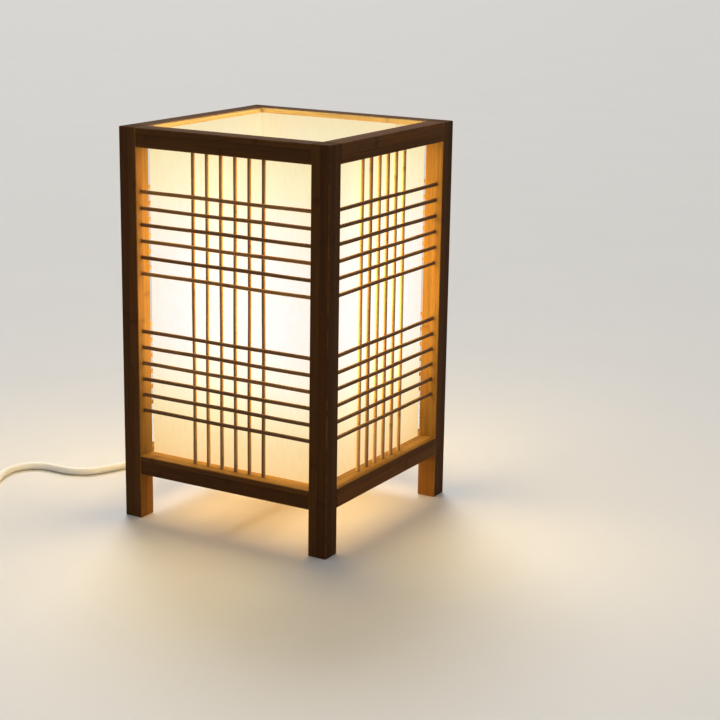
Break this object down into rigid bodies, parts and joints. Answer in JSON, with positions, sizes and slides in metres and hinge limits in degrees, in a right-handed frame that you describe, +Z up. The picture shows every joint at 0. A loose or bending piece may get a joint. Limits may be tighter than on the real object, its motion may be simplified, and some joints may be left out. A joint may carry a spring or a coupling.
{
  "type": "table lamp",
  "caption": "Square table lamp: a frame of posts and rails round a lit paper shade with a lattice of thin round sticks, a screw-in bulb, and a lead with rocker switch and plug.",
  "frame": {"origin": "the middle of the square footprint, on the surface that the four posts stand on", "axes": "+Z up through the open top; the front faces -Y; the lead leaves towards -X"},
  "size_m": [0.4675, 0.249, 0.298],
  "materials": {
    "bamboo_frame": "brown bamboo, thin satin lacquer",
    "bamboo_sticks": "brown bamboo rods, unvarnished",
    "pale_wood": "plain pale wood, sanded",
    "shade_sheet": "translucent laminated paper",
    "holder_plastic": "moulded, semi-gloss",
    "ceramic": "glazed ceramic",
    "brass": "bright sheet",
    "steel": "zinc plated",
    "cap_metal": "bright rolled",
    "black_insulator": "glossy",
    "bulb_plastic": "white, matt",
    "bulb_diffuser": "opal diffuser",
    "board": "white coated board",
    "lead_sheath": "soft vinyl sheath",
    "mains_plastic": "moulded, semi-gloss",
    "strap": "woven strap"
  },
  "bodies": {
    "lamp": {"post_front_right": "bamboo_frame", "post_back_right": "bamboo_frame", "post_back_left": "bamboo_frame", "post_front_left": "bamboo_frame", "top_rail_front": "bamboo_frame", "top_rail_right": "bamboo_frame", "top_rail_back": "bamboo_frame", "top_rail_left": "bamboo_frame", "bottom_rail_front": "bamboo_frame", "bottom_rail_right": "bamboo_frame", "bottom_rail_back": "bamboo_frame", "bottom_rail_left": "bamboo_frame", "frame_dowels": "pale_wood", "front_upper_sticks": "bamboo_sticks", "front_lower_sticks": "bamboo_sticks", "front_upright_sticks": "bamboo_sticks", "right_upper_sticks": "bamboo_sticks", "right_lower_sticks": "bamboo_sticks", "right_upright_sticks": "bamboo_sticks", "back_upper_sticks": "bamboo_sticks", "back_lower_sticks": "bamboo_sticks", "back_upright_sticks": "bamboo_sticks", "left_upper_sticks": "bamboo_sticks", "left_lower_sticks": "bamboo_sticks", "left_upright_sticks": "bamboo_sticks", "paper_shade": "shade_sheet", "crossbar": "pale_wood", "crossbar_screws": "steel", "holder_base": "holder_plastic", "holder_screws": "steel", "holder_insert": "ceramic", "holder_contact": "brass", "holder_sleeve": "brass", "holder_shell": "holder_plastic", "cord_relief": "mains_plastic", "cord_lead": "lead_sheath", "cord_link": "lead_sheath", "cord_coil": "lead_sheath", "coil_tie": "strap", "cord_tail": "lead_sheath", "switch_base": "mains_plastic", "switch_cover": "mains_plastic", "switch_contacts": "brass", "switch_screws": "steel", "plug_body": "mains_plastic", "plug_pins": "brass"},
    "bulb_rise": {"bulb_tip": "steel"},
    "bulb": {"bulb_insulator": "black_insulator", "bulb_cap": "cap_metal", "bulb_housing": "bulb_plastic", "led_board": "board", "bulb_dome": "bulb_diffuser"},
    "rocker": {"switch_rocker": "mains_plastic"}
  },
  "joints": [
    {"name": "bulb_lift", "type": "slide", "parent": "lamp", "child": "bulb_rise", "axis": [0, 0, 1], "range_m": [0, 0.01815]},
    {"name": "bulb_turn", "type": "hinge", "parent": "bulb_rise", "child": "bulb", "pos_m": [0, 0, 0.101], "axis": [0, 0, 1], "range_deg": [0, 1800]},
    {"name": "rocker_tip", "type": "hinge", "parent": "lamp", "child": "rocker", "pos_m": [-0.291, -0.147, 0.0125], "axis": [0, 1, 0], "range_deg": [-16, 0]}
  ],
  "couplings": [
    {"joint": "bulb_turn", "follows": "bulb_lift", "rad_per_m": 1730.9}
  ]
}
